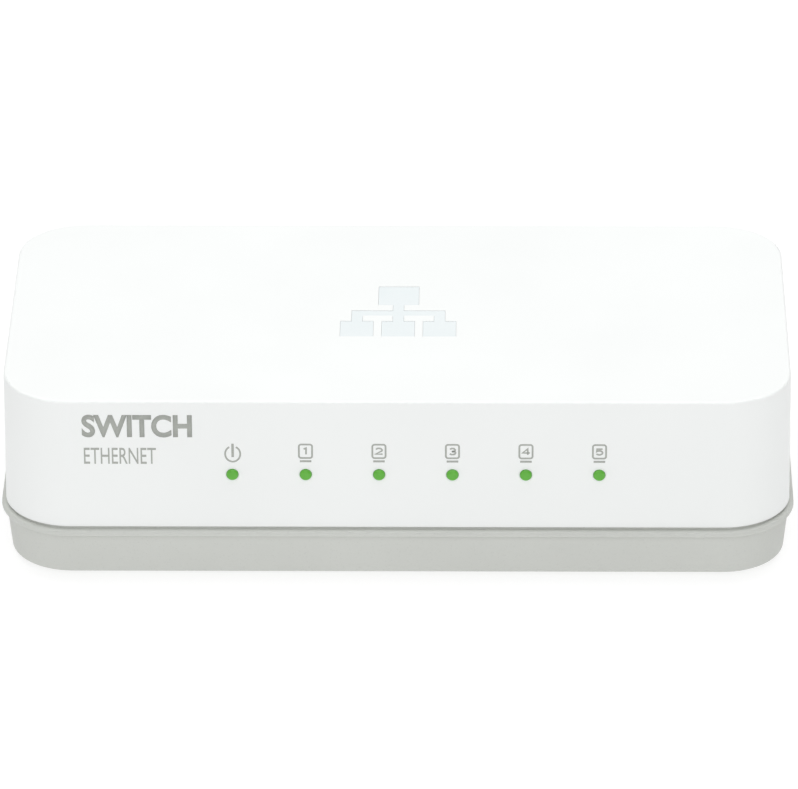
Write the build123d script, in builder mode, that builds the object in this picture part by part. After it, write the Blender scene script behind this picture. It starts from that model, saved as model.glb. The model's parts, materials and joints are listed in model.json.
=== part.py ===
from build123d import *
from math import radians, tan
import os

# Desktop network switch: a white cover screwed to a grey base, with a circuit board,
# a ganged block of 8P8C sockets and a DC inlet between them.
# Millimetres. Origin: the middle of the footprint, on the surface that the feet stand on.
# +Z is up, the lights face -Y, and +X is to the right of a person who faces the lights.

# ---- Case -------------------------------------------------------------------------------
case_width = 104.0  # over the base's bead
case_depth = 52.8  # over the base's bead
case_height = 26.3  # from the standing surface to the cover's top
corner_radius = 9.5  # of the bead, seen from above

base_inset = 0.66  # from the bead back to the base's outer wall, just under the bead
base_draft = 6.0  # degrees, the wall draws in towards the floor
base_wall = 2.86  # just under the bead
base_floor = 2.0
base_side_height = 5.9  # plain wall under the bead
base_edge_radius = 0.5
bead_height = 0.85
bead_radius = 0.38
shadow_gap = 0.35  # dark line between bead and cover
shadow_depth = 0.3
tongue_wall = 1.0
tongue_height = 2.1

cover_inset = 0.57  # from the bead back to the cover's lower edge
cover_wall = 1.8
cover_roof = 2.0
cover_draft = 0.55  # degrees
roof_edge_radius = 0.35
cover_foot_chamfer = 0.15
seat_clearance = 0.15  # between tongue and cover, all round
rim_thickness = 0.6  # of the base's rim, under the tongue

hold_down_width = 1.2  # ribs of the cover over the port block
hold_down_length = 9.0
hold_down_setback = 2.0  # from the block's back
hold_down_gap = 0.1
port_rest_width = 1.6  # ribs of the base under the port block
port_rest_depth = 3.0

# ---- Feet, screws and wall hooks -----------------------------------------------------------
foot_radius = 4.5
foot_proud = 0.8
foot_recess = 0.6
foot_clearance = 0.2
foot_edge_radius = 0.3
foot_from_side = 11.0  # foot centre, in from the bead
foot_from_front = 9.9

case_screw_from_side = 7.0  # screw axis, in from the bead
case_screw_length = 9.0
case_shank_radius = 1.2
case_head_radius = 2.5
case_head_height = 1.8
case_head_edge_radius = 0.6
case_head_sink = 0.8  # head below the base's underside
case_cross = (3.0, 0.7, 1.1)  # cross recess: length, width, depth
counterbore_wall = 0.9
counterbore_roof = 1.2
board_screw_length = 4.2
board_shank_radius = 1.0
board_head_radius = 1.9
board_head_height = 1.5
board_head_edge_radius = 0.5
board_cross = (2.4, 0.6, 0.9)
screw_clearance = 0.3
pilot_clearance = 0.05
boss_wall = 1.5
boss_gap = 0.1  # between the cover's boss and the base's

keyhole_spacing = 64.0
keyhole_radius = 3.25
keyhole_slot_width = 3.4
keyhole_slot_length = 5.0

vent_count = 9
vent_pitch = 5.0
vent_width = 1.6
vent_length = 7.0
vent_row_from_middle = 18.2

label_width = 46.0
label_depth = 22.0
label_recess = 0.2
label_thickness = 0.15
label_corner = 2.0
label_clearance = 0.3

tab_width = 8.0
tab_height = 0.8
tab_proud = 0.4
tab_spacing = 50.0
tab_clearance = 0.15
tab_from_top = 0.4  # below the tongue's top
tab_root = 0.4  # depth inside the tongue

# ---- Circuit board ---------------------------------------------------------------------------
board_thickness = 1.6
board_standoff = 3.2
board_edge_gap = 1.6  # to the base's wall, and to the tongue
board_corner = 4.0
board_screw_inset = 3.3  # screw axis, in from the board's sides
post_radius = 2.6
post_pilot_floor = 1.2  # left under the pilot holes
board_screw_clearance = 0.2
board_screw_from_front = 4.6
board_screw_from_ports = 2.0
boss_notch_clearance = 0.5

# ---- Sockets ---------------------------------------------------------------------------------
port_count = 5
port_pitch = 13.97
port_end_wall = 0.62
port_block_height = 13.2
port_block_depth = 16.0
socket_proud = 0.15  # beyond the cover's back
window_clearance = 0.3
plug_width = 11.9
plug_height = 7.1
plug_floor = 1.5  # under the plug
latch_width = 6.3
latch_height = 1.7
latch_tip_width = 3.9
latch_tip_height = 0.9
carrier_depth = 2.6
carrier_clearance = 0.05
comb_slot_width = 0.66
comb_slot_depth = 1.2
comb_foot = 0.8
comb_head = 1.0
latch_wall = 2.5  # between the carrier and the latch slots
port_face_bevel = 0.25

contact_count = 8
contact_pitch = 1.016
contact_width = 0.45
contact_thickness = 0.3
contact_gap = 0.12
contact_bend_height = 0.62
contact_bend_radius = 0.17
contact_bend_poke = 0.5
lead_bend_radius = 0.25
wire_seat = 0.1  # fixed wires lie this far under the plug's floor
groove_clearance = 0.05
groove_past_bend = 1.0
contact_from_face = 2.6  # bend of the wires, in from the socket's face
contact_reach = 7.6
contact_rise = 1.9
contact_tip_reach = 1.2
contact_tip_drop = 0.5
tail_rows_from_back = (1.4, 3.94)  # two staggered rows of tails
tail_below_board = 1.1
tail_hole = 0.45

# ---- DC inlet --------------------------------------------------------------------------------
inlet_gap = 2.4  # to the port block
inlet_width = 9.0
inlet_height = 11.0
inlet_depth = 14.2
inlet_flange = 3.3
inlet_axis_height = 6.5
inlet_bore_radius = 3.2
inlet_bore_depth = 10.6
inlet_pin_radius = 1.0
inlet_pin_root_radius = 1.4  # where it sits in the housing's back wall
inlet_pin_setback = 0.6
inlet_spring_width = 2.4
inlet_slot_width = 3.2
inlet_spring_thickness = 0.3
inlet_spring_length = 8.0
inlet_spring_poke = 0.45
inlet_spring_from_back = 2.2
inlet_spring_drop = 1.3  # root below the bore
inlet_spring_root = 0.3
inlet_spring_bend_radius = 0.6
inlet_barrel_inset = 0.4  # barrel narrower than the flange
inlet_mouth_bevel = 0.35
inlet_pin_tip_radius = 0.5
inlet_slot_end_wall = 1.2
terminal_thickness = 0.6
terminal_width = 2.4
terminal_slot = (3.6, 1.3)  # in the board
side_terminal_from_face = 7.4

# ---- Lights ----------------------------------------------------------------------------------
light_count = 6
light_pitch = 9.52
first_light_from_middle = -21.3
light_height = 15.7  # axis above the standing surface
light_radius = 0.77
light_hole_clearance = 0.05
light_proud = 0.28
light_edge_radius = 0.3
guide_wall = 1.8
guide_from_face = 5.3
guide_bar_height = 12.0
guide_bar_thickness = 1.4
guide_peg_radius = 0.65
guide_peg_hole_radius = 0.75
guide_peg_from_light = 4.5
guide_leg_width = 2.0
led_width = 1.24
led_depth = 1.2
led_height = 0.8
led_gap = 0.2

# ---- Emblem, flush in the roof -----------------------------------------------------------------
emblem_width = 15.3
emblem_depth = 14.4
emblem_recess = 0.3
emblem_gap = 0.03
emblem_top_square = 5.4
emblem_low_square = 4.4
emblem_line = 1.5

# ---- Levels and faces worked out from the sizes above --------------------------------------------
base_z = foot_proud
floor_z = base_z + base_floor
bead_z = base_z + base_side_height
bead_top_z = bead_z + bead_height
cover_z = bead_top_z + shadow_gap
tongue_z = cover_z + tongue_height
tab_top_z = tongue_z - tab_from_top
roof_z = case_height - cover_roof
board_z = floor_z + board_standoff
board_top_z = board_z + board_thickness
port_top_z = board_top_z + port_block_height
inlet_top_z = board_top_z + inlet_height
inlet_axis_z = board_top_z + inlet_axis_height

back_y = case_depth / 2 - cover_inset
front_y = -back_y
socket_y = back_y + socket_proud
port_back_y = socket_y - port_block_depth

row_width = inlet_width + inlet_gap + port_pitch * port_count + 2 * port_end_wall
inlet_x = -row_width / 2 + inlet_width / 2
port_block_width = port_pitch * port_count + 2 * port_end_wall
port_block_x = row_width / 2 - port_block_width / 2
port_xs = [port_block_x + (i - (port_count - 1) / 2) * port_pitch for i in range(port_count)]
light_xs = [first_light_from_middle + i * light_pitch for i in range(light_count)]

case_screw_xs = [-(case_width / 2 - case_screw_from_side), case_width / 2 - case_screw_from_side]
case_boss_radius = case_shank_radius + boss_wall
counterbore_radius = case_head_radius + screw_clearance
counterbore_z = base_z + case_head_height + case_head_sink
boss_split_z = bead_top_z

cavity_inset = base_inset + base_wall
board_width = case_width - 2 * (cavity_inset + board_edge_gap)
board_depth = case_depth - 2 * (cavity_inset + board_edge_gap / 2)
board_screw_x = board_width / 2 - board_screw_inset
board_screw_points = [(x, y) for x in (-board_screw_x, board_screw_x)
                      for y in (-board_depth / 2 + board_screw_from_front,
                                port_back_y - board_screw_from_ports)]
foot_points = [(x, y) for x in (-(case_width / 2 - foot_from_side), case_width / 2 - foot_from_side)
               for y in (-(case_depth / 2 - foot_from_front), case_depth / 2 - foot_from_front)]


def outline(inset):
    """The case's rounded outline, drawn in by inset from the bead."""
    return RectangleRounded(case_width - 2 * inset, case_depth - 2 * inset, corner_radius - inset)


def strip(points, radius, thickness):
    """A bent strip of metal seen from its edge."""
    with BuildLine() as path:
        FilletPolyline(*points, radius=radius)
    trace(path.edges(), line_width=thickness)


def block(x0, x1, y0, y1, z0, z1, mode=Mode.ADD):
    """A box between two corners."""
    with Locations(((x0 + x1) / 2, (y0 + y1) / 2, (z0 + z1) / 2)):
        Box(x1 - x0, y1 - y0, z1 - z0, mode=mode)


def keep(piece, name):
    """Labels a finished piece and writes it."""
    piece.part.label = name
    export_step(piece.part, f"parts/{name}.step")


def emblem_glyph(gap):
    """Four squares joined by lines, as on a wiring plan. gap draws every edge in."""
    top_y = emblem_depth / 2 - emblem_top_square / 2
    low_y = -emblem_depth / 2 + emblem_low_square / 2
    side_x = emblem_width / 2 - emblem_low_square / 2
    branch_y = (top_y - emblem_top_square / 2 + low_y + emblem_low_square / 2) / 2
    with Locations((0, top_y)):
        Rectangle(emblem_top_square - 2 * gap, emblem_top_square - 2 * gap)
    with Locations((-side_x, low_y), (0, low_y), (side_x, low_y)):
        Rectangle(emblem_low_square - 2 * gap, emblem_low_square - 2 * gap)
    with Locations((0, (top_y + low_y) / 2)):
        Rectangle(emblem_line - 2 * gap, top_y - low_y)
    with Locations((0, branch_y)):
        Rectangle(2 * side_x + emblem_line - 2 * gap, emblem_line - 2 * gap)
    with Locations((-side_x, (branch_y + low_y) / 2), (side_x, (branch_y + low_y) / 2)):
        Rectangle(emblem_line - 2 * gap, branch_y - low_y)


os.makedirs("parts", exist_ok=True)

# ---- Top cover ---------------------------------------------------------------------------------
with BuildPart() as top_cover:
    with BuildSketch(Plane.XY.offset(cover_z)):
        outline(cover_inset)
    extrude(amount=case_height - cover_z, taper=cover_draft)
    fillet(top_cover.faces().sort_by(Axis.Z)[-1].edges(), roof_edge_radius)
    chamfer(top_cover.faces().sort_by(Axis.Z)[0].edges(), cover_foot_chamfer)
    with BuildSketch(Plane.XY.offset(cover_z)):
        outline(cover_inset + cover_wall)
    extrude(amount=roof_z - cover_z, taper=cover_draft, mode=Mode.SUBTRACT)
    # bosses for the case screws
    with BuildSketch(Plane.XY.offset(boss_split_z + boss_gap)):
        with Locations(*[(x, 0) for x in case_screw_xs]):
            Circle(case_boss_radius)
    extrude(amount=roof_z - boss_split_z - boss_gap)
    with BuildSketch(Plane.XY.offset(boss_split_z + boss_gap)):
        with Locations(*[(x, 0) for x in case_screw_xs]):
            Circle(case_shank_radius + pilot_clearance)
    extrude(amount=case_screw_length, mode=Mode.SUBTRACT)
    # ribs that hold the port block down
    for a, b in zip(port_xs[::2], port_xs[1::2]):
        block((a + b - hold_down_width) / 2, (a + b + hold_down_width) / 2,
              port_back_y + hold_down_setback, port_back_y + hold_down_setback + hold_down_length,
              port_top_z + hold_down_gap, roof_z)
    # windows for the port block and the inlet, open at the bottom
    for x, width, top in ((port_block_x, port_block_width, port_top_z),
                          (inlet_x, inlet_width, inlet_top_z)):
        half = width / 2 + window_clearance
        block(x - half, x + half, back_y - cover_wall - 1.2, back_y + 1, cover_z - 1,
              top + window_clearance, mode=Mode.SUBTRACT)
    # holes for the lights
    with BuildSketch(Plane.XZ.offset(-front_y + 1)):
        with Locations(*[(x, light_height) for x in light_xs]):
            Circle(light_radius + light_hole_clearance)
    extrude(amount=-(cover_wall + 2), mode=Mode.SUBTRACT)
    # pockets for the base's tabs
    for x in (-tab_spacing / 2, tab_spacing / 2):
        inner = front_y + cover_wall
        half = tab_width / 2 + 2 * tab_clearance
        block(x - half, x + half, inner - tab_proud - tab_clearance, inner + 1,
              tab_top_z - tab_height - tab_clearance, tab_top_z + tab_clearance,
              mode=Mode.SUBTRACT)
    # recess for the emblem
    with BuildSketch(Plane.XY.offset(case_height)):
        emblem_glyph(0)
    extrude(amount=-emblem_recess, mode=Mode.SUBTRACT)
keep(top_cover, "top_cover")

# ---- Emblem ------------------------------------------------------------------------------------
with BuildPart() as top_emblem:
    with BuildSketch(Plane.XY.offset(case_height - emblem_recess)):
        emblem_glyph(emblem_gap)
    extrude(amount=emblem_recess - 2 * emblem_gap)
keep(top_emblem, "top_emblem")

# ---- Base --------------------------------------------------------------------------------------
with BuildPart() as base:
    with BuildSketch(Plane.XY.offset(bead_z)):
        outline(0)
    extrude(amount=bead_height)
    fillet(base.edges().group_by(Axis.Z)[0] + base.edges().group_by(Axis.Z)[-1], bead_radius)
    with BuildSketch(Plane.XY.offset(base_z)):
        outline(base_inset + base_side_height * tan(radians(base_draft)))
    extrude(amount=bead_z - base_z + bead_height / 2, taper=-base_draft)
    fillet(base.faces().sort_by(Axis.Z)[0].edges(), base_edge_radius)
    with BuildSketch(Plane.XY.offset(bead_top_z)):
        outline(cover_inset + shadow_depth)
    extrude(amount=shadow_gap)
    with BuildSketch(Plane.XY.offset(cover_z)):
        outline(cover_inset + cover_wall + seat_clearance)
    extrude(amount=tongue_height)
    # hollow
    with BuildSketch(Plane.XY.offset(bead_top_z - rim_thickness)):
        outline(cover_inset + cover_wall + seat_clearance + tongue_wall)
    extrude(amount=tongue_z, mode=Mode.SUBTRACT)
    with BuildSketch(Plane.XY.offset(floor_z)):
        outline(cavity_inset)
    extrude(amount=bead_top_z - floor_z - rim_thickness, mode=Mode.SUBTRACT)
    # bosses for the case screws, and their sunk heads
    with BuildSketch(Plane.XY.offset(floor_z)):
        with Locations(*[(x, 0) for x in case_screw_xs]):
            Circle(counterbore_radius + counterbore_wall)
    extrude(amount=counterbore_z + counterbore_roof - floor_z)
    with BuildSketch(Plane.XY.offset(floor_z)):
        with Locations(*[(x, 0) for x in case_screw_xs]):
            Circle(case_boss_radius)
    extrude(amount=boss_split_z - floor_z)
    with BuildSketch(Plane.XY.offset(base_z)):
        with Locations(*[(x, 0) for x in case_screw_xs]):
            Circle(counterbore_radius)
    extrude(amount=counterbore_z - base_z, mode=Mode.SUBTRACT)
    with BuildSketch(Plane.XY.offset(base_z)):
        with Locations(*[(x, 0) for x in case_screw_xs]):
            Circle(case_shank_radius + screw_clearance)
    extrude(amount=tongue_z, mode=Mode.SUBTRACT)
    # posts for the board
    with BuildSketch(Plane.XY.offset(floor_z)):
        with Locations(*board_screw_points):
            Circle(post_radius)
    extrude(amount=board_z - floor_z)
    with BuildSketch(Plane.XY.offset(base_z + post_pilot_floor)):
        with Locations(*board_screw_points):
            Circle(board_shank_radius + pilot_clearance)
    extrude(amount=board_z, mode=Mode.SUBTRACT)
    # rests under the port block's front edge
    for x in (port_xs[0] - port_pitch / 2, port_xs[-1] - port_pitch / 2):
        wall_y = case_depth / 2 - cavity_inset
        block(x - port_rest_width / 2, x + port_rest_width / 2, wall_y - port_rest_depth,
              wall_y + base_wall / 2, floor_z, board_z)
    # gaps in tongue and rim for the sockets
    for x, width in ((port_block_x, port_block_width), (inlet_x, inlet_width)):
        half = width / 2 + window_clearance
        block(x - half, x + half, back_y - cover_wall - 4, case_depth / 2, bead_top_z, tongue_z + 1,
              mode=Mode.SUBTRACT)
    # tabs that catch in the cover's front wall
    for x in (-tab_spacing / 2, tab_spacing / 2):
        y = front_y + cover_wall + seat_clearance
        block(x - tab_width / 2, x + tab_width / 2, y - tab_proud - seat_clearance, y + tab_root,
              tab_top_z - tab_height, tab_top_z)
    # recesses for the feet and the label
    with BuildSketch(Plane.XY.offset(base_z)):
        with Locations(*foot_points):
            Circle(foot_radius + foot_clearance)
    extrude(amount=foot_recess, mode=Mode.SUBTRACT)
    with BuildSketch(Plane.XY.offset(base_z)):
        RectangleRounded(label_width, label_depth, label_corner)
    extrude(amount=label_recess, mode=Mode.SUBTRACT)
    # wall hooks: a round entry and a narrow slot towards the front
    with BuildSketch(Plane.XY.offset(base_z)):
        with Locations((-keyhole_spacing / 2, 0), (keyhole_spacing / 2, 0)):
            Circle(keyhole_radius)
            with Locations((0, -keyhole_slot_length / 2)):
                Rectangle(keyhole_slot_width, keyhole_slot_length)
            with Locations((0, -keyhole_slot_length)):
                Circle(keyhole_slot_width / 2)
    extrude(amount=base_floor, mode=Mode.SUBTRACT)
    # vents
    with BuildSketch(Plane.XY.offset(base_z)):
        for y in (-vent_row_from_middle, vent_row_from_middle):
            with Locations((0, y)):
                with GridLocations(vent_pitch, 1, vent_count, 1):
                    SlotOverall(vent_length, vent_width, rotation=90)
    extrude(amount=base_floor, mode=Mode.SUBTRACT)
keep(base, "base")

# ---- Rubber feet ---------------------------------------------------------------------------------
with BuildPart() as rubber_feet:
    with BuildSketch(Plane.XY):
        with Locations(*foot_points):
            Circle(foot_radius)
    extrude(amount=foot_proud + foot_recess)
    fillet(rubber_feet.edges().group_by(Axis.Z)[0], foot_edge_radius)
keep(rubber_feet, "rubber_feet")

# ---- Rating label, blank -------------------------------------------------------------------------
with BuildPart() as rating_label:
    with BuildSketch(Plane.XY.offset(base_z + label_recess - label_thickness)):
        RectangleRounded(label_width - 2 * label_clearance, label_depth - 2 * label_clearance,
                         label_corner - label_clearance)
    extrude(amount=label_thickness)
keep(rating_label, "rating_label")

# ---- Screws --------------------------------------------------------------------------------------
with BuildPart() as case_screws:
    head_z = counterbore_z - case_head_height
    with BuildSketch(Plane.XY.offset(head_z)):
        with Locations(*[(x, 0) for x in case_screw_xs]):
            Circle(case_head_radius)
    extrude(amount=case_head_height)
    fillet(case_screws.edges().group_by(Axis.Z)[0], case_head_edge_radius)
    with BuildSketch(Plane.XY.offset(counterbore_z)):
        with Locations(*[(x, 0) for x in case_screw_xs]):
            Circle(case_shank_radius)
    extrude(amount=case_screw_length)
    with BuildSketch(Plane.XY.offset(head_z)):
        with Locations(*[(x, 0) for x in case_screw_xs]):
            Rectangle(case_cross[0], case_cross[1])
            Rectangle(case_cross[1], case_cross[0])
    extrude(amount=case_cross[2], mode=Mode.SUBTRACT)
keep(case_screws, "case_screws")

with BuildPart() as board_screws:
    with BuildSketch(Plane.XY.offset(board_top_z)):
        with Locations(*board_screw_points):
            Circle(board_head_radius)
    extrude(amount=board_head_height)
    fillet(board_screws.edges().group_by(Axis.Z)[-1], board_head_edge_radius)
    with BuildSketch(Plane.XY.offset(board_top_z)):
        with Locations(*board_screw_points):
            Circle(board_shank_radius)
    extrude(amount=-board_screw_length)
    with BuildSketch(Plane.XY.offset(board_top_z + board_head_height)):
        with Locations(*board_screw_points):
            Rectangle(board_cross[0], board_cross[1])
            Rectangle(board_cross[1], board_cross[0])
    extrude(amount=-board_cross[2], mode=Mode.SUBTRACT)
keep(board_screws, "board_screws")

# ---- Contacts: where each wire runs --------------------------------------------------------------
contact_offsets = [(i - (contact_count - 1) / 2) * contact_pitch for i in range(contact_count)]
wire_z = board_top_z + plug_floor - contact_thickness / 2 - wire_seat  # fixed wires, in grooves
bend_y = socket_y - contact_from_face
tail_ys = [port_back_y + d for d in tail_rows_from_back]
tail_points = [(x + dx, tail_ys[i % 2]) for x in port_xs for i, dx in enumerate(contact_offsets)]

# ---- Port block: five stepped openings, open at the back for the carriers ------------------------
with BuildPart() as port_block:
    x0 = port_block_x - port_block_width / 2
    block(x0, x0 + port_block_width, port_back_y, socket_y, board_top_z, port_top_z)
    floor_top = board_top_z + plug_floor
    for x in port_xs:
        block(x - plug_width / 2, x + plug_width / 2, port_back_y - 1, socket_y + 1,
              floor_top, floor_top + plug_height, mode=Mode.SUBTRACT)
        top = floor_top + plug_height
        stop = port_back_y + carrier_depth + latch_wall
        block(x - latch_width / 2, x + latch_width / 2, stop, socket_y + 1, top, top + latch_height,
              mode=Mode.SUBTRACT)
        block(x - latch_tip_width / 2, x + latch_tip_width / 2, stop, socket_y + 1,
              top + latch_height, top + latch_height + latch_tip_height, mode=Mode.SUBTRACT)
    # grooves and wells for the fixed wires
    groove = contact_width / 2 + groove_clearance
    for x in port_xs:
        for i, dx in enumerate(contact_offsets):
            y = tail_ys[i % 2] - contact_thickness / 2 - groove_clearance
            block(x + dx - groove, x + dx + groove, y, bend_y + groove_past_bend,
                  wire_z - contact_thickness / 2 - groove_clearance, floor_top, mode=Mode.SUBTRACT)
            block(x + dx - groove, x + dx + groove, y, y + contact_thickness + 2 * groove_clearance,
                  board_top_z, floor_top, mode=Mode.SUBTRACT)
    # bevel round the block's face
    chamfer(port_block.faces().sort_by(Axis.Y)[-1].outer_wire().edges(), port_face_bevel)
keep(port_block, "port_block")

# ---- Contact carriers: combs that close the back of each opening ---------------------------------
with BuildPart() as contact_carriers:
    for x in port_xs:
        half = plug_width / 2 - carrier_clearance
        low = board_top_z + plug_floor + carrier_clearance
        high = board_top_z + plug_floor + plug_height - carrier_clearance
        block(x - half, x + half, port_back_y, port_back_y + carrier_depth, low, high)
        for dx in contact_offsets:
            block(x + dx - comb_slot_width / 2, x + dx + comb_slot_width / 2,
                  port_back_y + carrier_depth - comb_slot_depth, port_back_y + carrier_depth + 1,
                  low + comb_foot, high - comb_head, mode=Mode.SUBTRACT)
keep(contact_carriers, "contact_carriers")

# ---- Fixed leads of the contacts, forward along the floor, and down through the board ------------
with BuildPart() as contact_leads:
    for row, tail_y in enumerate(tail_ys):
        planes = [Plane.YZ.offset(x + dx) for x in port_xs
                  for i, dx in enumerate(contact_offsets) if i % 2 == row]
        with BuildSketch(*planes):
            strip([(bend_y - contact_gap, wire_z), (tail_y, wire_z),
                   (tail_y, board_z - tail_below_board)], lead_bend_radius, contact_thickness)
        extrude(amount=contact_width / 2, both=True)
keep(contact_leads, "contact_leads")

# ---- Sprung wires of each port -------------------------------------------------------------------
for number, x in enumerate(port_xs, start=1):
    with BuildPart() as port_contacts:
        planes = [Plane.YZ.offset(x + dx) for dx in contact_offsets]
        with BuildSketch(*planes):
            upper_z = wire_z + contact_bend_height
            crest_y = bend_y - contact_reach
            strip([(bend_y, wire_z),
                   (bend_y + contact_bend_poke, wire_z + contact_bend_height * 0.3),
                   (bend_y + contact_bend_poke * 0.2, upper_z), (crest_y, upper_z + contact_rise),
                   (crest_y - contact_tip_reach, upper_z + contact_rise - contact_tip_drop)],
                  contact_bend_radius, contact_thickness)
        extrude(amount=contact_width / 2, both=True)
    keep(port_contacts, f"port_{number}_contacts")

# ---- DC inlet ------------------------------------------------------------------------------------
inlet_back_y = socket_y - inlet_depth
spring_root_y = inlet_back_y + inlet_spring_from_back
spring_root_z = inlet_axis_z - inlet_bore_radius - inlet_spring_drop
barrel_radius = inlet_width / 2 - inlet_barrel_inset
with BuildPart() as dc_inlet_housing:
    half = inlet_width / 2
    block(inlet_x - half, inlet_x + half, socket_y - inlet_flange, socket_y, board_top_z, inlet_top_z)
    block(inlet_x - barrel_radius, inlet_x + barrel_radius, inlet_back_y, socket_y - inlet_flange,
          board_top_z, inlet_axis_z)
    with BuildSketch(Plane.XZ.offset(-inlet_back_y)):
        with Locations((inlet_x, inlet_axis_z)):
            Circle(barrel_radius)
    extrude(amount=-(inlet_depth - inlet_flange))
    with BuildSketch(Plane.XZ.offset(-socket_y)):
        with Locations((inlet_x, inlet_axis_z)):
            Circle(inlet_bore_radius)
    extrude(amount=inlet_bore_depth, mode=Mode.SUBTRACT)
    mouth = dc_inlet_housing.faces().sort_by(Axis.Y)[-1]
    chamfer(mouth.edges().filter_by(GeomType.CIRCLE), inlet_mouth_bevel)
    with BuildSketch(Plane.XZ.offset(-inlet_back_y)):
        with Locations((inlet_x, inlet_axis_z)):
            Circle(inlet_pin_root_radius)
    extrude(amount=-(inlet_depth - inlet_bore_depth), mode=Mode.SUBTRACT)
    # slot for the side spring, under the bore
    block(inlet_x - inlet_slot_width / 2, inlet_x + inlet_slot_width / 2,
          inlet_back_y + inlet_slot_end_wall, socket_y - inlet_flange - inlet_slot_end_wall / 3,
          board_top_z, inlet_axis_z, mode=Mode.SUBTRACT)
keep(dc_inlet_housing, "dc_inlet_housing")

with BuildPart() as dc_inlet_pin:
    with BuildSketch(Plane.XZ.offset(-inlet_back_y)):
        with Locations((inlet_x, inlet_axis_z)):
            Circle(inlet_pin_radius)
    extrude(amount=-(inlet_depth - inlet_pin_setback))
    with BuildSketch(Plane.XZ.offset(-inlet_back_y)):
        with Locations((inlet_x, inlet_axis_z)):
            Circle(inlet_pin_root_radius)
    extrude(amount=-(inlet_depth - inlet_bore_depth))
    fillet(dc_inlet_pin.faces().sort_by(Axis.Y)[-1].edges(), inlet_pin_tip_radius)
keep(dc_inlet_pin, "dc_inlet_pin")

with BuildPart() as dc_inlet_spring:
    with BuildSketch(Plane.YZ.offset(inlet_x)):
        crest_z = inlet_axis_z - inlet_bore_radius + inlet_spring_poke
        strip([(spring_root_y + inlet_spring_root, spring_root_z),
               (spring_root_y + inlet_spring_length * 0.35, spring_root_z),
               (spring_root_y + inlet_spring_length * 0.7, crest_z),
               (spring_root_y + inlet_spring_length, spring_root_z + inlet_spring_thickness * 1.6)],
              inlet_spring_bend_radius, inlet_spring_thickness)
    extrude(amount=inlet_spring_width / 2, both=True)
keep(dc_inlet_spring, "dc_inlet_spring")

with BuildPart() as dc_inlet_terminals:
    low = board_z - tail_below_board
    # pin terminal behind the housing
    block(inlet_x - terminal_width / 2, inlet_x + terminal_width / 2, inlet_back_y - terminal_thickness,
          inlet_back_y, low, inlet_axis_z + inlet_pin_root_radius)
    # root of the spring
    block(inlet_x - inlet_spring_width / 2, inlet_x + inlet_spring_width / 2,
          spring_root_y - inlet_spring_root, spring_root_y + inlet_spring_root - contact_gap, low,
          spring_root_z + inlet_spring_thickness / 2)
    # switched contact, beside the housing
    side = inlet_x - barrel_radius
    middle = socket_y - side_terminal_from_face
    block(side - terminal_thickness, side, middle - terminal_width / 2, middle + terminal_width / 2, low,
          inlet_axis_z - terminal_width / 2)
keep(dc_inlet_terminals, "dc_inlet_terminals")

# ---- Circuit board -------------------------------------------------------------------------------
guide_y = front_y + guide_from_face
peg_xs = [light_xs[0] - guide_peg_from_light, light_xs[-1] + guide_peg_from_light]
with BuildPart() as circuit_board:
    with BuildSketch(Plane.XY.offset(board_z)):
        RectangleRounded(board_width, board_depth, board_corner)
    extrude(amount=board_thickness)
    with BuildSketch(Plane.XY.offset(board_z)):
        with Locations(*[(x, 0) for x in case_screw_xs]):
            Circle(case_boss_radius + boss_notch_clearance)
        for x in case_screw_xs:
            with Locations((x * 1.1, 0)):
                Rectangle(0.2 * abs(x), 2 * (case_boss_radius + boss_notch_clearance))
        with Locations(*board_screw_points):
            Circle(board_shank_radius + board_screw_clearance)
        with Locations(*tail_points):
            Circle(tail_hole)
        with Locations(*[(x, guide_y) for x in peg_xs]):
            Circle(guide_peg_hole_radius)
        with Locations((inlet_x, inlet_back_y - terminal_thickness / 2),
                       (inlet_x, spring_root_y - contact_gap / 2)):
            SlotOverall(*terminal_slot)
        with Locations((inlet_x - barrel_radius - terminal_thickness / 2,
                        socket_y - side_terminal_from_face)):
            SlotOverall(*terminal_slot, rotation=90)
    extrude(amount=board_thickness, mode=Mode.SUBTRACT)
keep(circuit_board, "circuit_board")

# ---- Light guides: one moulding, six bent arms on a bar, with two pegs in the board --------------
with BuildPart() as light_guides:
    with BuildSketch(Plane.XZ.offset(-front_y + light_proud)):
        with Locations(*[(x, light_height) for x in light_xs]):
            Circle(light_radius)
    extrude(amount=-(guide_from_face - guide_wall / 2 + light_proud))
    fillet(light_guides.edges().group_by(Axis.Y)[0], light_edge_radius)
    with BuildSketch(*[Plane.YZ.offset(x) for x in light_xs]):
        low = board_top_z + led_height + led_gap
        high = light_height + guide_wall / 2
        with BuildLine():
            Polyline((guide_y - guide_wall / 2, low), (guide_y + guide_wall / 2, low),
                     (guide_y + guide_wall / 2, high - guide_wall * 0.7),
                     (guide_y - guide_wall * 0.2, high), (guide_y - guide_wall / 2, high), close=True)
        make_face()
    extrude(amount=guide_wall / 2, both=True)
    half = guide_leg_width / 2
    block(peg_xs[0] - half, peg_xs[1] + half, guide_y - guide_wall / 2, guide_y + guide_wall / 2,
          guide_bar_height, guide_bar_height + guide_bar_thickness)
    for x in peg_xs:
        block(x - half, x + half, guide_y - guide_wall / 2, guide_y + guide_wall / 2, board_top_z,
              guide_bar_height)
    with BuildSketch(Plane.XY.offset(board_top_z)):
        with Locations(*[(x, guide_y) for x in peg_xs]):
            Circle(guide_peg_radius)
    extrude(amount=-board_thickness)
keep(light_guides, "light_guides")

with BuildPart() as status_leds:
    for x in light_xs:
        block(x - led_width / 2, x + led_width / 2, guide_y - led_depth / 2, guide_y + led_depth / 2,
              board_top_z, board_top_z + led_height)
keep(status_leds, "status_leds")


# ---- Components on the board ---------------------------------------------------------------------
body_lift = 0.1  # moulded bodies above the board
wing_thickness = 0.2
wing_bend_radius = 0.11


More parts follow.
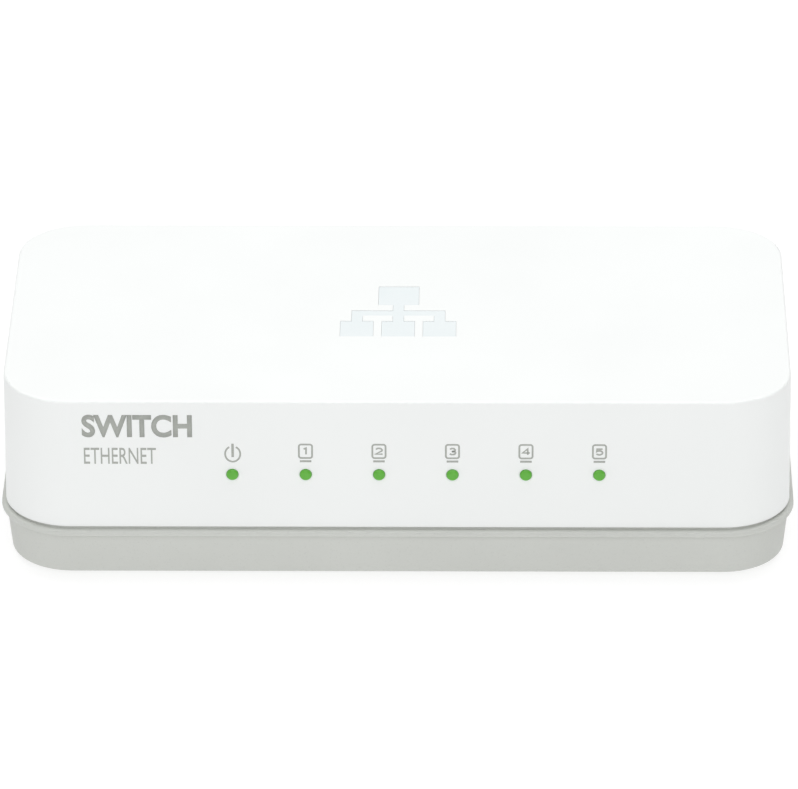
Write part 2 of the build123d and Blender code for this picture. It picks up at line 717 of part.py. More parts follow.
def gull_wing(inner, outer, lift):
    """One lead in profile: flat out of the body, down, and flat on the board."""
    foot_z = board_top_z + wing_thickness / 2
    strip([(inner, board_top_z + lift), (inner + (outer - inner) * 0.42, board_top_z + lift),
           (inner + (outer - inner) * 0.58, foot_z), (outer, foot_z)],
          wing_bend_radius, wing_thickness)


chip_side = 14.0
chip_height = 1.5
chip_leads = 16
chip_lead_pitch = 0.8
chip_lead_width = 0.3
chip_lead_reach = 1.1
chip_lead_lift = 0.8
chip_bevel = 0.2
chip_from_guides = 10.9
chip_x = port_xs[2]
chip_y = guide_y + chip_from_guides
with BuildPart() as switch_chip:
    block(chip_x - chip_side / 2, chip_x + chip_side / 2, chip_y - chip_side / 2, chip_y + chip_side / 2,
          board_top_z + body_lift, board_top_z + body_lift + chip_height)
    chamfer(switch_chip.faces().sort_by(Axis.Z)[-1].edges(), chip_bevel)
keep(switch_chip, "switch_chip")

with BuildPart() as switch_chip_leads:
    steps = [(i - (chip_leads - 1) / 2) * chip_lead_pitch for i in range(chip_leads)]
    near, far = chip_side / 2, chip_side / 2 + chip_lead_reach
    for side in (-1, 1):
        with BuildSketch(*[Plane.YZ.offset(chip_x + s) for s in steps]):
            gull_wing(chip_y + side * near, chip_y + side * far, chip_lead_lift)
        extrude(amount=chip_lead_width / 2, both=True)
        with BuildSketch(*[Plane.XZ.offset(-chip_y - s) for s in steps]):
            gull_wing(chip_x + side * near, chip_x + side * far, chip_lead_lift)
        extrude(amount=chip_lead_width / 2, both=True)
keep(switch_chip_leads, "switch_chip_leads")

transformer_width = 11.6
transformer_depth = 6.8
transformer_height = 5.2
transformer_bevel = 0.4
transformer_from_ports = 1.9
transformer_leads_per_side = 8
transformer_lead_pitch = 1.27
transformer_lead_width = 0.4
transformer_lead_reach = 1.2
transformer_lead_lift = 1.6
transformer_y = port_back_y - transformer_from_ports - transformer_depth / 2
with BuildPart() as transformers:
    for x in port_xs:
        block(x - transformer_width / 2, x + transformer_width / 2, transformer_y - transformer_depth / 2,
              transformer_y + transformer_depth / 2, board_top_z + body_lift,
              board_top_z + body_lift + transformer_height)
    chamfer(transformers.edges().group_by(Axis.Z)[-1], transformer_bevel)
keep(transformers, "transformers")

with BuildPart() as transformer_leads:
    steps = [(i - (transformer_leads_per_side - 1) / 2) * transformer_lead_pitch
             for i in range(transformer_leads_per_side)]
    near, far = transformer_depth / 2, transformer_depth / 2 + transformer_lead_reach
    for side in (-1, 1):
        with BuildSketch(*[Plane.YZ.offset(x + s) for x in port_xs for s in steps]):
            gull_wing(transformer_y + side * near, transformer_y + side * far, transformer_lead_lift)
        extrude(amount=transformer_lead_width / 2, both=True)
keep(transformer_leads, "transformer_leads")

crystal_length = 11.0
crystal_width = 4.6
crystal_rim = 0.4
crystal_rim_height = 0.5
crystal_height = 3.5
crystal_edge_radius = 0.5
crystal_point = (chip_x + chip_side / 2 + 10.0, chip_y + 3.0)
with BuildPart() as crystal:
    with BuildSketch(Plane.XY.offset(board_top_z)):
        with Locations(crystal_point):
            SlotOverall(crystal_length, crystal_width)
    extrude(amount=crystal_rim_height)
    with BuildSketch(Plane.XY.offset(board_top_z + crystal_rim_height)):
        with Locations(crystal_point):
            SlotOverall(crystal_length - 2 * crystal_rim, crystal_width - 2 * crystal_rim)
    extrude(amount=crystal_height - crystal_rim_height)
    fillet(crystal.edges().group_by(Axis.Z)[-1], crystal_edge_radius)
keep(crystal, "crystal")

capacitor_radius = 3.15
capacitor_height = 5.0
capacitor_edge_radius = 0.4
capacitor_base_side = 6.6
capacitor_base_height = 0.7
capacitor_base_bevel = 0.8
capacitor_points = [(inlet_x + 0.6, port_back_y - 4.5), (inlet_x + 7.6, transformer_y - 8.9)]
with BuildPart() as capacitor_bases:
    for x, y in capacitor_points:
        half = capacitor_base_side / 2
        block(x - half, x + half, y - half, y + half, board_top_z, board_top_z + capacitor_base_height)
    chamfer(capacitor_bases.edges().filter_by(Axis.Z).group_by(Axis.Y)[0], capacitor_base_bevel)
keep(capacitor_bases, "capacitor_bases")

with BuildPart() as capacitor_cans:
    with BuildSketch(Plane.XY.offset(board_top_z + capacitor_base_height)):
        with Locations(*capacitor_points):
            Circle(capacitor_radius)
    extrude(amount=capacitor_height)
    fillet(capacitor_cans.edges().group_by(Axis.Z)[-1], capacitor_edge_radius)
keep(capacitor_cans, "capacitor_cans")

inductor_x = inlet_x + 14.2
inductor_side = 6.0
inductor_height = 2.8
inductor_bevel = 0.9
inductor_groove = (1.9, 2.3, 0.4)  # inner radius, outer radius, depth
with BuildPart() as power_inductor:
    half = inductor_side / 2
    block(inductor_x - half, inductor_x + half, chip_y - half, chip_y + half, board_top_z,
          board_top_z + inductor_height)
    chamfer(power_inductor.edges().filter_by(Axis.Z), inductor_bevel)
    with BuildSketch(Plane.XY.offset(board_top_z + inductor_height)):
        with Locations((inductor_x, chip_y)):
            Circle(inductor_groove[1])
            Circle(inductor_groove[0], mode=Mode.SUBTRACT)
    extrude(amount=-inductor_groove[2], mode=Mode.SUBTRACT)
keep(power_inductor, "power_inductor")

regulator_x = inlet_x + 21.6
regulator_length = 4.9
regulator_width = 3.9
regulator_height = 1.4
regulator_bevel = 0.25
regulator_leads_per_side = 4
regulator_lead_pitch = 1.27
regulator_lead_width = 0.4
regulator_lead_reach = 1.05
regulator_lead_lift = 0.75
with BuildPart() as voltage_regulator:
    block(regulator_x - regulator_length / 2, regulator_x + regulator_length / 2,
          chip_y - regulator_width / 2, chip_y + regulator_width / 2, board_top_z + body_lift,
          board_top_z + body_lift + regulator_height)
    chamfer(voltage_regulator.faces().sort_by(Axis.Z)[-1].edges(), regulator_bevel)
keep(voltage_regulator, "voltage_regulator")

with BuildPart() as regulator_leads:
    steps = [(i - (regulator_leads_per_side - 1) / 2) * regulator_lead_pitch
             for i in range(regulator_leads_per_side)]
    near, far = regulator_width / 2, regulator_width / 2 + regulator_lead_reach
    for side in (-1, 1):
        with BuildSketch(*[Plane.YZ.offset(regulator_x + s) for s in steps]):
            gull_wing(chip_y + side * near, chip_y + side * far, regulator_lead_lift)
        extrude(amount=regulator_lead_width / 2, both=True)
keep(regulator_leads, "regulator_leads")

diode_length = 4.4
diode_width = 2.6
diode_height = 2.0
diode_bevel = 0.3
diode_tab = (0.4, 1.5, 1.0)  # reach, width, height
diode_y = port_back_y - 11.6
with BuildPart() as protection_diode:
    block(inlet_x - diode_length / 2, inlet_x + diode_length / 2, diode_y - diode_width / 2,
          diode_y + diode_width / 2, board_top_z + body_lift, board_top_z + body_lift + diode_height)
    chamfer(protection_diode.faces().sort_by(Axis.Z)[-1].edges(), diode_bevel)
    for side in (-1, 1):
        with Locations((inlet_x + side * (diode_length + diode_tab[0]) / 2, diode_y,
                        board_top_z + diode_tab[2] / 2)):
            Box(*diode_tab)
keep(protection_diode, "protection_diode")

resistor_size = (1.6, 0.8, 0.45)
resistor_points = [(x + 3.0, guide_y) for x in light_xs[:-1]]
resistor_points += [(x + dx, transformer_y - transformer_depth / 2 - 2.6)
                    for x in (port_xs[0], port_xs[1], port_xs[3], port_xs[4]) for dx in (-2.4, 0, 2.4)]
with BuildPart() as chip_resistors:
    with Locations(*[(x, y, board_top_z + resistor_size[2] / 2) for x, y in resistor_points]):
        Box(*resistor_size)
keep(chip_resistors, "chip_resistors")

chip_capacitor_size = (0.9, 1.6, 0.8)
chip_capacitor_points = [(chip_x + side * (chip_side / 2 + 2.6), chip_y + dy)
                         for side in (-1, 1) for dy in (-5.4, -1.8, 1.8, 5.4)]
with BuildPart() as chip_capacitors:
    with Locations(*[(x, y, board_top_z + chip_capacitor_size[2] / 2) for x, y in chip_capacitor_points]):
        Box(*chip_capacitor_size)
keep(chip_capacitors, "chip_capacitors")
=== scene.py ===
import json
import math

import bmesh
import bpy
from mathutils import Matrix, Vector


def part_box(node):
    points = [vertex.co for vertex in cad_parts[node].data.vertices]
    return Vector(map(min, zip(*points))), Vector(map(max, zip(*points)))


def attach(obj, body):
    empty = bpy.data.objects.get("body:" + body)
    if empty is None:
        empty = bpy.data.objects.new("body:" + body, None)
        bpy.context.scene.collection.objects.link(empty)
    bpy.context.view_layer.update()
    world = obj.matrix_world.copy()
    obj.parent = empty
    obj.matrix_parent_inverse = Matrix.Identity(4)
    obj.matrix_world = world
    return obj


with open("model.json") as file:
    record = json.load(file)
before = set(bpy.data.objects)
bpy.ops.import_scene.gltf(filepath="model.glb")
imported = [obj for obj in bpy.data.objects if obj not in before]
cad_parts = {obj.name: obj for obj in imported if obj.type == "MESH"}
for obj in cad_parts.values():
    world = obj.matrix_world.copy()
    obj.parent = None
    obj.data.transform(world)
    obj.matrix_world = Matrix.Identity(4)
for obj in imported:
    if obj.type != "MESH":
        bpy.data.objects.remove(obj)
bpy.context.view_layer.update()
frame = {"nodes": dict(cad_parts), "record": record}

# Desktop network switch. Metres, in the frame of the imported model: +Z up, the lights face -Y.
MM = 0.001

# ---- Places taken from the frame -------------------------------------------------------------
cover_low, cover_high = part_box("top_cover")
block_low, block_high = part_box("port_block")
inlet_low, inlet_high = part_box("dc_inlet_housing")
label_low, label_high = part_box("rating_label")
led_low, led_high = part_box("status_leds")
guides_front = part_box("light_guides")[0].y

COVER_DRAFT = math.radians(0.55)     # of the front and the back, which lean in towards the top
LIGHT_COUNT = 6
LED_WIDTH = 1.24 * MM
first_light_x = led_low.x + LED_WIDTH / 2
light_pitch = (led_high.x - led_low.x - LED_WIDTH) / (LIGHT_COUNT - 1)
light_xs = [first_light_x + i * light_pitch for i in range(LIGHT_COUNT)]
PORT_COUNT = 5
PORT_PITCH = 13.97 * MM
TRACK_PITCH = 0.6 * MM      # of the lines in the board's mask
BASE_GRAIN = 0.5 * MM       # of the base's moulded texture
block_middle = (block_low.x + block_high.x) / 2
port_xs = [block_middle + (i - (PORT_COUNT - 1) / 2) * PORT_PITCH for i in range(PORT_COUNT)]


# ---- Material building -----------------------------------------------------------------------
PLASTIC_IOR = 1.5


class Finish:
    """A procedural material: a Principled shader with helpers that wire patterns into it."""

    def __init__(self, name, color, roughness, metallic=0.0):
        self.material = bpy.data.materials.new(name)
        self.material.use_nodes = True
        self.tree = self.material.node_tree
        self.shader = self.tree.nodes["Principled BSDF"]
        self.shader.inputs["Base Color"].default_value = (*color, 1)
        self.shader.inputs["Roughness"].default_value = roughness
        self.shader.inputs["Metallic"].default_value = metallic
        self.shader.inputs["IOR"].default_value = PLASTIC_IOR
        self.place = self.tree.nodes.new("ShaderNodeTexCoord").outputs["Object"]
        self.height = None

    def node(self, kind, **settings):
        made = self.tree.nodes.new(kind)
        for key, value in settings.items():
            setattr(made, key, value)
        return made

    def link(self, source, target):
        self.tree.links.new(source, target)

    def math(self, operation, a, b=None):
        """A Math node; a and b are sockets or numbers."""
        made = self.node("ShaderNodeMath", operation=operation)
        for slot, value in zip(made.inputs, (a, b)):
            if value is None:
                continue
            if isinstance(value, (int, float)):
                slot.default_value = value
            else:
                self.link(value, slot)
        return made.outputs[0]

    def axis(self, name):
        """One object coordinate, in metres."""
        split = self.node("ShaderNodeSeparateXYZ")
        self.link(self.place, split.inputs[0])
        return split.outputs[name]

    def noise(self, grain, detail=3.0):
        """Noise whose lumps are about grain metres across."""
        scale = self.node("ShaderNodeMapping")
        scale.inputs["Scale"].default_value = [1 / grain] * 3
        self.link(self.place, scale.inputs["Vector"])
        made = self.node("ShaderNodeTexNoise")
        made.inputs["Scale"].default_value = 1.0
        made.inputs["Detail"].default_value = detail
        made.inputs["Roughness"].default_value = 0.5
        self.link(scale.outputs[0], made.inputs["Vector"])
        return made.outputs["Fac"]

    def cells(self, grain):
        """Distance to the nearest of many points about grain metres apart."""
        scale = self.node("ShaderNodeMapping")
        scale.inputs["Scale"].default_value = [1 / grain] * 3
        self.link(self.place, scale.inputs["Vector"])
        made = self.node("ShaderNodeTexVoronoi", feature="F1")
        made.inputs["Scale"].default_value = 1.0
        self.link(scale.outputs[0], made.inputs["Vector"])
        return made.outputs["Distance"]

    def span(self, source, low, high, to_low=0.0, to_high=1.0, smooth=False):
        """Maps low..high of a socket to to_low..to_high."""
        made = self.node("ShaderNodeMapRange")
        if smooth:
            made.interpolation_type = "SMOOTHSTEP"
        for name, value in (("From Min", low), ("From Max", high), ("To Min", to_low), ("To Max", to_high)):
            made.inputs[name].default_value = value
        self.link(source, made.inputs["Value"])
        return made.outputs["Result"]

    def tint(self, mask, other):
        """Mixes another colour over the base colour where mask is 1."""
        mix = self.node("ShaderNodeMix", data_type="RGBA")
        target = self.shader.inputs["Base Color"]
        if target.links:
            self.link(target.links[0].from_socket, mix.inputs["A"])
        else:
            mix.inputs["A"].default_value = target.default_value
        mix.inputs["B"].default_value = (*other, 1)
        self.link(mask, mix.inputs["Factor"])
        self.link(mix.outputs["Result"], target)

    def vary_roughness(self, source, low, high):
        self.link(self.span(source, 0.3, 0.7, low, high), self.shader.inputs["Roughness"])

    def bump(self, source, depth):
        """Adds relief of about depth metres."""
        made = self.node("ShaderNodeBump")
        made.inputs["Distance"].default_value = depth
        if self.height:
            self.link(self.height, made.inputs["Normal"])
        self.link(source, made.inputs["Height"])
        self.height = made.outputs["Normal"]
        self.link(self.height, self.shader.inputs["Normal"])


def srgb(*levels):
    """A colour given in 0..255 display levels, as linear numbers."""
    return tuple(((c / 255 + 0.055) / 1.055) ** 2.4 if c > 10 else c / 255 / 12.92 for c in levels)


def white_cover():
    """Satin white ABS: a very fine spark-eroded grain, with a slight cloudiness from the moulding."""
    f = Finish("cover_white_abs", srgb(247, 249, 248), 0.4)
    f.tint(f.span(f.noise(30 * MM, 2), 0.35, 0.7), srgb(245, 247, 246))
    f.vary_roughness(f.noise(12 * MM, 4), 0.37, 0.45)
    f.bump(f.noise(0.35 * MM, 2), 0.004 * MM)
    return f.material


def grey_base():
    """Light grey ABS with a matt texture that shows close up."""
    f = Finish("base_grey_abs", srgb(207, 209, 204), 0.55)
    f.tint(f.span(f.noise(20 * MM, 3), 0.35, 0.7), srgb(203, 205, 200))
    f.tint(f.span(f.cells(BASE_GRAIN), 0.05, 0.28, 0.35, 0.0), srgb(190, 192, 187))
    f.vary_roughness(f.noise(4 * MM, 4), 0.5, 0.62)
    f.bump(f.cells(BASE_GRAIN), 0.018 * MM)
    f.bump(f.noise(0.2 * MM, 2), 0.006 * MM)
    return f.material


def pale_emblem():
    """Smooth pale inlay, a little bluer than the cover."""
    f = Finish("emblem_pale_inlay", srgb(238, 244, 245), 0.22)
    f.tint(f.span(f.noise(6 * MM, 2), 0.4, 0.7), srgb(235, 242, 243))
    f.vary_roughness(f.noise(2 * MM, 3), 0.2, 0.27)
    return f.material


def print_ink():
    """Screen-printed grey ink, a touch uneven at the size of the mesh."""
    f = Finish("print_grey_ink", srgb(168, 171, 165), 0.5)
    f.tint(f.span(f.noise(0.2 * MM, 2), 0.4, 0.75), srgb(176, 179, 173))
    f.bump(f.noise(0.12 * MM, 2), 0.003 * MM)
    return f.material


def lit_guide():
    """Clear moulding, green with light at its tips."""
    f = Finish("light_guide_green", srgb(86, 166, 48), 0.28)
    tip = f.span(f.axis("Y"), guides_front + 4 * MM, guides_front + 0.5 * MM, smooth=True)
    f.tint(f.math("SUBTRACT", 1.0, tip), srgb(196, 226, 178))
    f.tint(f.span(f.noise(0.6 * MM, 2), 0.45, 0.75, 0.0, 0.6), srgb(96, 176, 58))
    f.shader.inputs["Emission Color"].default_value = (*srgb(98, 182, 62), 1)
    f.link(f.math("MULTIPLY", tip, 0.1), f.shader.inputs["Emission Strength"])
    return f.material


def simple(name, color, roughness, grain, depth, metallic=0.0, other=None, spread=0.06):
    """A plain moulded, cast or plated finish: grain and depth of its relief, in millimetres."""
    f = Finish(name, color, roughness, metallic)
    f.tint(f.span(f.noise(12 * grain * MM, 3), 0.35, 0.7, 0.0, 0.8), other or tuple(c * 0.86 for c in color))
    f.vary_roughness(f.noise(5 * grain * MM, 3), max(0.05, roughness - spread), roughness + spread)
    f.bump(f.noise(grain * MM, 2), depth * MM)
    return f.material


def solder_mask():
    """Green mask over fine tracks, which run across in some patches and along in others."""
    f = Finish("board_green_mask", srgb(16, 84, 44), 0.3)
    patch = f.noise(7 * MM, 0)
    across = f.math("LESS_THAN", f.math("FRACT", f.math("MULTIPLY", f.axis("Y"), 1 / TRACK_PITCH)), 0.4)
    along = f.math("LESS_THAN", f.math("FRACT", f.math("MULTIPLY", f.axis("X"), 1 / TRACK_PITCH)), 0.4)
    tracks = f.math("ADD", f.math("MULTIPLY", across, f.math("GREATER_THAN", patch, 0.53)),
                    f.math("MULTIPLY", along, f.math("LESS_THAN", patch, 0.45)))
    f.tint(tracks, srgb(38, 118, 66))
    f.vary_roughness(f.noise(3 * MM, 3), 0.24, 0.36)
    f.bump(tracks, 0.02 * MM)
    return f.material


MATERIALS = {
    "cover_plastic": white_cover(),
    "base_plastic": grey_base(),
    "emblem_plastic": pale_emblem(),
    "light_guide": lit_guide(),
    "board_mask": solder_mask(),
    "foot_rubber": simple("foot_grey_rubber", srgb(74, 75, 76), 0.82, 0.3, 0.02),
    "label_paper": simple("label_film", srgb(229, 230, 228), 0.45, 0.2, 0.002,
                          other=srgb(226, 227, 225)),
    "screw_steel": simple("screw_zinc", srgb(176, 178, 182), 0.34, 0.2, 0.004, metallic=1.0),
    "socket_plastic": simple("socket_black_pbt", srgb(40, 40, 42), 0.42, 0.2, 0.006),
    "contact_gold": simple("contact_gold_plate", srgb(232, 190, 96), 0.22, 0.3, 0.001, metallic=1.0),
    "terminal_tin": simple("terminal_tin_plate", srgb(206, 206, 202), 0.28, 0.3, 0.002, metallic=1.0),
    "led_body": simple("led_clear_resin", srgb(214, 226, 196), 0.2, 0.3, 0.001),
    "chip_black": simple("chip_black_epoxy", srgb(34, 34, 36), 0.5, 0.2, 0.006),
    "can_metal": simple("can_aluminium", srgb(214, 215, 217), 0.3, 0.2, 0.002, metallic=1.0),
    "ferrite": simple("ferrite_grey", srgb(66, 66, 68), 0.6, 0.3, 0.01),
    "resistor_ceramic": simple("resistor_glaze", srgb(30, 30, 34), 0.25, 0.2, 0.002),
    "capacitor_ceramic": simple("capacitor_tan", srgb(176, 148, 112), 0.45, 0.2, 0.003),
}

for row in frame["record"]["subparts"]:
    node = frame["nodes"][row["node"]]
    node.data.materials.clear()
    node.data.materials.append(MATERIALS[row["material_slot"]])


# ---- Print on the case -------------------------------------------------------------------------
INK = print_ink()
INK_PROUD = 0.02 * MM
INK_SUNK = 0.01 * MM
STROKE = 0.23 * MM          # outlines of the marks over the lights
BAR_STROKE = 0.32 * MM
RULE_STROKE = 0.28 * MM
FIGURE_STROKE = 0.22 * MM
BACK_STROKE = 0.3 * MM
POLARITY_STROKE = 0.2 * MM
DOT_STROKE = 0.22 * MM
PLUS_X = 1.975 * MM
LABEL_MARGIN = 1.5 * MM
LABEL_FRAME_STROKE = 0.22 * MM
LABEL_RULE_STROKE = 0.16 * MM
POWER_MARK_Z = 18.7 * MM    # middles of the marks, above the standing surface
SOCKET_MARK_Z = 19.12 * MM
WORD_X, WORD_Z = -33.58 * MM, 22.75 * MM
LINE_X, LINE_Z = -35.84 * MM, 18.4 * MM
NUMBER_ABOVE_BLOCK = 1.95 * MM
POLARITY_ABOVE_INLET = 2.6 * MM


def front_face(x, z):
    """The frame of a mark on the cover's front: X right, Y up the face, Z out of it."""
    y = cover_low.y + (z - cover_low.z) * math.tan(COVER_DRAFT)
    return Matrix.Translation((x, y, z)) @ Matrix.Rotation(math.pi / 2 - COVER_DRAFT, 4, "X")


def back_face(x, z):
    """The same on the cover's back, read from behind."""
    y = cover_high.y - (z - cover_low.z) * math.tan(COVER_DRAFT)
    return (Matrix.Translation((x, y, z)) @ Matrix.Rotation(math.pi, 4, "Z")
            @ Matrix.Rotation(math.pi / 2 - COVER_DRAFT, 4, "X"))


def under_face(x, y, z):
    """The same on a surface that looks down at height z; its upper side lies towards the lights."""
    return Matrix.Translation((x, y, z)) @ Matrix.Rotation(math.pi, 4, "X")


def thicken(bm):
    """Turns flat faces in the XY plane into thin solids that stand proud of the surface."""
    bmesh.ops.remove_doubles(bm, verts=bm.verts, dist=1e-7)
    bmesh.ops.translate(bm, verts=bm.verts, vec=(0, 0, -INK_SUNK))
    raised = bmesh.ops.extrude_face_region(bm, geom=bm.faces[:])
    top = [v for v in raised["geom"] if isinstance(v, bmesh.types.BMVert)]
    bmesh.ops.translate(bm, verts=top, vec=(0, 0, INK_SUNK + INK_PROUD))
    bmesh.ops.recalc_face_normals(bm, faces=bm.faces)


def stroke(bm, points, width, closed=False):
    """A flat line of even width along the points, with mitred bends."""
    path = [Vector((x, y)) for x, y in points]
    rails = []
    for i, here in enumerate(path):
        before = path[i - 1] if closed or i else None
        after = path[(i + 1) % len(path)] if closed or i < len(path) - 1 else None
        arrive = (here - before).normalized() if before else (after - here).normalized()
        leave = (after - here).normalized() if after else arrive
        along = (arrive + leave).normalized()
        reach = width / 2 / max(0.5, along.dot(leave))
        side = Vector((-along.y, along.x)) * reach
        rails.append([bm.verts.new((*(here + side), 0)), bm.verts.new((*(here - side), 0))])
    for a, b in zip(rails, rails[1:] + rails[:1] if closed else rails[1:]):
        bm.faces.new((a[0], a[1], b[1], b[0]))


def arc(x, y, across, up, start, end, steps=16):
    """Points of an elliptical arc about (x, y), from start to end in degrees."""
    turns = [math.radians(start + (end - start) * i / steps) for i in range(steps + 1)]
    return [(x + across * math.cos(t), y + up * math.sin(t)) for t in turns]


def rounded_outline(width, height, radius):
    """Points of a rounded rectangle about (0, 0)."""
    x, y = width / 2 - radius, height / 2 - radius
    return [*arc(x, y, radius, radius, 0, 90, 6), *arc(-x, y, radius, radius, 90, 180, 6),
            *arc(-x, -y, radius, radius, 180, 270, 6), *arc(x, -y, radius, radius, 270, 360, 6)]


# Figures one unit tall, as lines to stroke.
FIGURE_WIDTH = 0.8
FIGURES = {
    1: [[(-0.2, 0.36), (0.06, 0.5), (0.06, -0.5)]],
    2: [[*arc(0, 0.2, 0.34, 0.3, 160, -28), (-0.38, -0.44), (0.4, -0.44)]],
    3: [[*arc(0, 0.23, 0.3, 0.27, 150, -80), (-0.06, -0.03)],
        [(-0.06, -0.01), *arc(0, -0.22, 0.34, 0.28, 78, -150)]],
    4: [[(0.2, -0.5), (0.2, 0.46), (-0.38, -0.2), (0.42, -0.2)]],
    5: [[(0.34, 0.44), (-0.26, 0.44), (-0.3, 0.04), *arc(-0.02, -0.16, 0.36, 0.33, 124, -150)]],
}


def figure(bm, number, width, height, line):
    """A stroked figure about (0, 0)."""
    for points in FIGURES[number]:
        stroke(bm, [(x * width / FIGURE_WIDTH, y * (height - line)) for x, y in points], line)


def text_faces(bm, words, width, height, bold=0.0):
    """Lettering of the built-in face, stretched to width by height about (0, 0)."""
    curve = bpy.data.curves.new("lettering", "FONT")
    curve.body = words
    curve.offset = bold
    curve.resolution_u = 6
    holder = bpy.data.objects.new("lettering", curve)
    bpy.context.scene.collection.objects.link(holder)
    bpy.context.view_layer.update()
    flat = bpy.data.meshes.new_from_object(holder)
    bpy.data.objects.remove(holder)
    xs = [v.co.x for v in flat.vertices]
    ys = [v.co.y for v in flat.vertices]
    size = Vector((width / (max(xs) - min(xs)), height / (max(ys) - min(ys)), 1, 1))
    middle = Vector(((max(xs) + min(xs)) / 2, (max(ys) + min(ys)) / 2, 0))
    flat.transform(Matrix.Diagonal(size) @ Matrix.Translation(-middle))
    bm.from_mesh(flat)
    bpy.data.meshes.remove(flat)


def printed(name, draw, place):
    """One printed mark: draw fills a flat bmesh, which gets the ink's thickness and its place."""
    bm = bmesh.new()
    draw(bm)
    thicken(bm)
    mesh = bpy.data.meshes.new(name)
    bm.to_mesh(mesh)
    bm.free()
    mesh.transform(place)
    mesh.materials.append(INK)
    piece = bpy.data.objects.new(name, mesh)
    bpy.context.scene.collection.objects.link(piece)
    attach(piece, "switch")


def power_mark(bm):
    """A ring open at the top, with a bar in the opening."""
    stroke(bm, arc(0, 0, 0.98 * MM, 1.12 * MM, 116, 424, 48), STROKE)
    stroke(bm, [(0, -0.45 * MM), (0, 1.5 * MM)], BAR_STROKE)


def socket_mark(number):
    """A figure in a rounded box, with a short rule under it."""
    def draw(bm):
        box_width, box_height = 1.94 * MM, 2.2 * MM
        stroke(bm, rounded_outline(box_width - STROKE, box_height - STROKE, 0.3 * MM), STROKE, closed=True)
        stroke(bm, [(-0.75 * MM, -1.46 * MM), (0.75 * MM, -1.46 * MM)], RULE_STROKE)
        figure(bm, number, 0.94 * MM, 1.12 * MM, FIGURE_STROKE)
    return draw


def front_word(bm):
    text_faces(bm, "SWITCH", 14.3 * MM, 3.3 * MM, bold=0.035)


def front_line(bm):
    text_faces(bm, "ETHERNET", 9.35 * MM, 2.33 * MM)


def back_number(number):
    """A figure for the back, over a socket."""
    return lambda bm: figure(bm, number, 1.3 * MM, 1.9 * MM, BACK_STROKE)


printed("power_mark", power_mark, front_face(light_xs[0] + 0.08 * MM, POWER_MARK_Z))
for number, x in enumerate(light_xs[1:], start=1):
    printed(f"socket_mark_{number}", socket_mark(number), front_face(x, SOCKET_MARK_Z))
printed("front_word", front_word, front_face(WORD_X, WORD_Z))
printed("front_line", front_line, front_face(LINE_X, LINE_Z))
for number, x in enumerate(port_xs, start=1):
    printed(f"back_number_{number}", back_number(number), back_face(x, block_high.z + NUMBER_ABOVE_BLOCK))


def polarity_mark(bm):
    """Minus, a cup open to the right round a dot, and plus."""
    stroke(bm, arc(0, 0, 0.62 * MM, 0.62 * MM, 50, 310, 24), POLARITY_STROKE)
    stroke(bm, arc(0, 0, 0.12 * MM, 0.12 * MM, 0, 345, 16), DOT_STROKE, closed=True)
    for start, end in ((-1.35, -0.62), (0.2, 1.35), (-2.3, -1.65), (1.65, 2.3)):
        stroke(bm, [(start * MM, 0), (end * MM, 0)], POLARITY_STROKE)
    for start, end in ((-0.33, -0.1), (0.1, 0.33)):
        stroke(bm, [(PLUS_X, start * MM), (PLUS_X, end * MM)], POLARITY_STROKE)


printed("inlet_polarity_mark", polarity_mark,
        back_face((inlet_low.x + inlet_high.x) / 2, inlet_high.z + POLARITY_ABOVE_INLET))


def label_rules(bm):
    """The frame, rules and box of a rating label that is left blank."""
    wide, tall = label_high.x - label_low.x - 2 * LABEL_MARGIN, label_high.y - label_low.y - 2 * LABEL_MARGIN
    stroke(bm, rounded_outline(wide, tall, 1.2 * MM), LABEL_FRAME_STROKE, closed=True)
    for row in (0.25, 0.0, -0.25):
        stroke(bm, [(-wide * 0.45, row * tall), (wide * 0.1, row * tall)], LABEL_RULE_STROKE)
    box = [(x + wide * 0.3, y) for x, y in rounded_outline(wide * 0.26, tall * 0.62, 0.5 * MM)]
    stroke(bm, box, LABEL_RULE_STROKE, closed=True)


printed("label_rules", label_rules, under_face(0, 0, label_low.z))


# ---- Stage, light and camera ----------------------------------------------------------------------
FLOOR_HALF = 3.0
FLOOR_Z = -0.02 * MM


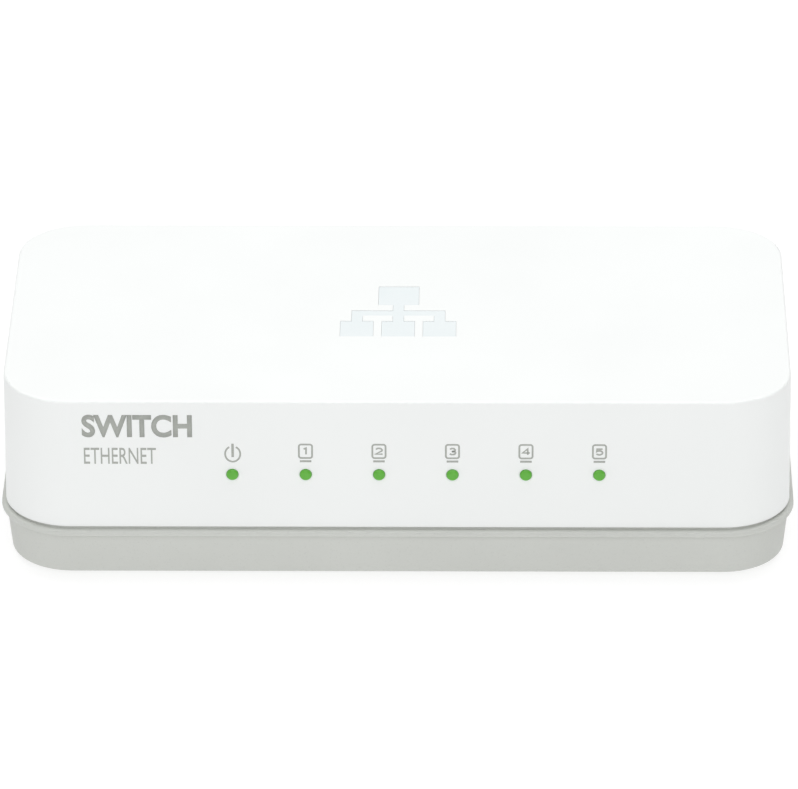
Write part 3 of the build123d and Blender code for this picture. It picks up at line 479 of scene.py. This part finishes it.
def stage_floor():
    """A pale floor just under the feet, bright enough to stay white in the shade."""
    bm = bmesh.new()
    bmesh.ops.create_grid(bm, x_segments=1, y_segments=1, size=FLOOR_HALF,
                          matrix=Matrix.Translation((0, 0, FLOOR_Z)))
    mesh = bpy.data.meshes.new("floor")
    bm.to_mesh(mesh)
    bm.free()
    f = Finish("floor_white", (0.36, 0.36, 0.36), 0.9)
    f.shader.inputs["Emission Color"].default_value = (1, 1, 1, 1)
    f.shader.inputs["Emission Strength"].default_value = 0.71
    f.shader.inputs["Specular IOR Level"].default_value = 0.0
    mesh.materials.append(f.material)
    floor = bpy.data.objects.new("floor", mesh)
    bpy.context.scene.collection.objects.link(floor)


def softbox(name, place, aim, width, height, power):
    """A rectangular studio light that faces aim."""
    light = bpy.data.lights.new(name, "AREA")
    light.shape = "RECTANGLE"
    light.size, light.size_y = width, height
    light.energy = power
    holder = bpy.data.objects.new(name, light)
    holder.location = place
    holder.rotation_euler = (Vector(aim) - Vector(place)).to_track_quat("-Z", "Y").to_euler()
    bpy.context.scene.collection.objects.link(holder)


stage_floor()
softbox("top_light", (0, 0.25, 1.1), (0, 0, 0), 1.6, 1.2, 11.2)
softbox("front_light", (0.0, -1.0, 0.95), (0, 0, 0.02), 1.3, 0.7, 6.2)

world = bpy.data.worlds.new("studio")
world.use_nodes = True
world.node_tree.nodes["Background"].inputs["Color"].default_value = (1, 1, 1, 1)
world.node_tree.nodes["Background"].inputs["Strength"].default_value = 0.32
bpy.context.scene.world = world
bpy.context.scene.view_settings.view_transform = "Standard"
bpy.context.scene.view_settings.look = "None"

CAMERA_ELEVATION = math.radians(28.0)
CAMERA_AZIMUTH = math.radians(0.8)
CAMERA_ROLL = math.radians(-0.26)
CAMERA_DISTANCE = 0.9403
camera_target = Vector((0, 0, 11.8 * MM))
camera_aim = Vector((0, 0.85 * MM, 13.4 * MM))
camera = bpy.data.cameras.new("camera")
camera.sensor_width = 36.0
camera.lens = 318.4
camera.clip_start, camera.clip_end = 0.05, 20
camera_holder = bpy.data.objects.new("camera", camera)
back = Vector((math.sin(CAMERA_AZIMUTH) * math.cos(CAMERA_ELEVATION),
               -math.cos(CAMERA_AZIMUTH) * math.cos(CAMERA_ELEVATION), math.sin(CAMERA_ELEVATION)))
camera_holder.location = camera_target + back * CAMERA_DISTANCE
look = (camera_aim - camera_holder.location).to_track_quat("-Z", "Y")
camera_holder.rotation_mode = "QUATERNION"
camera_holder.rotation_quaternion = look @ Matrix.Rotation(CAMERA_ROLL, 3, "Z").to_quaternion()
bpy.context.scene.collection.objects.link(camera_holder)
bpy.context.scene.camera = camera_holder
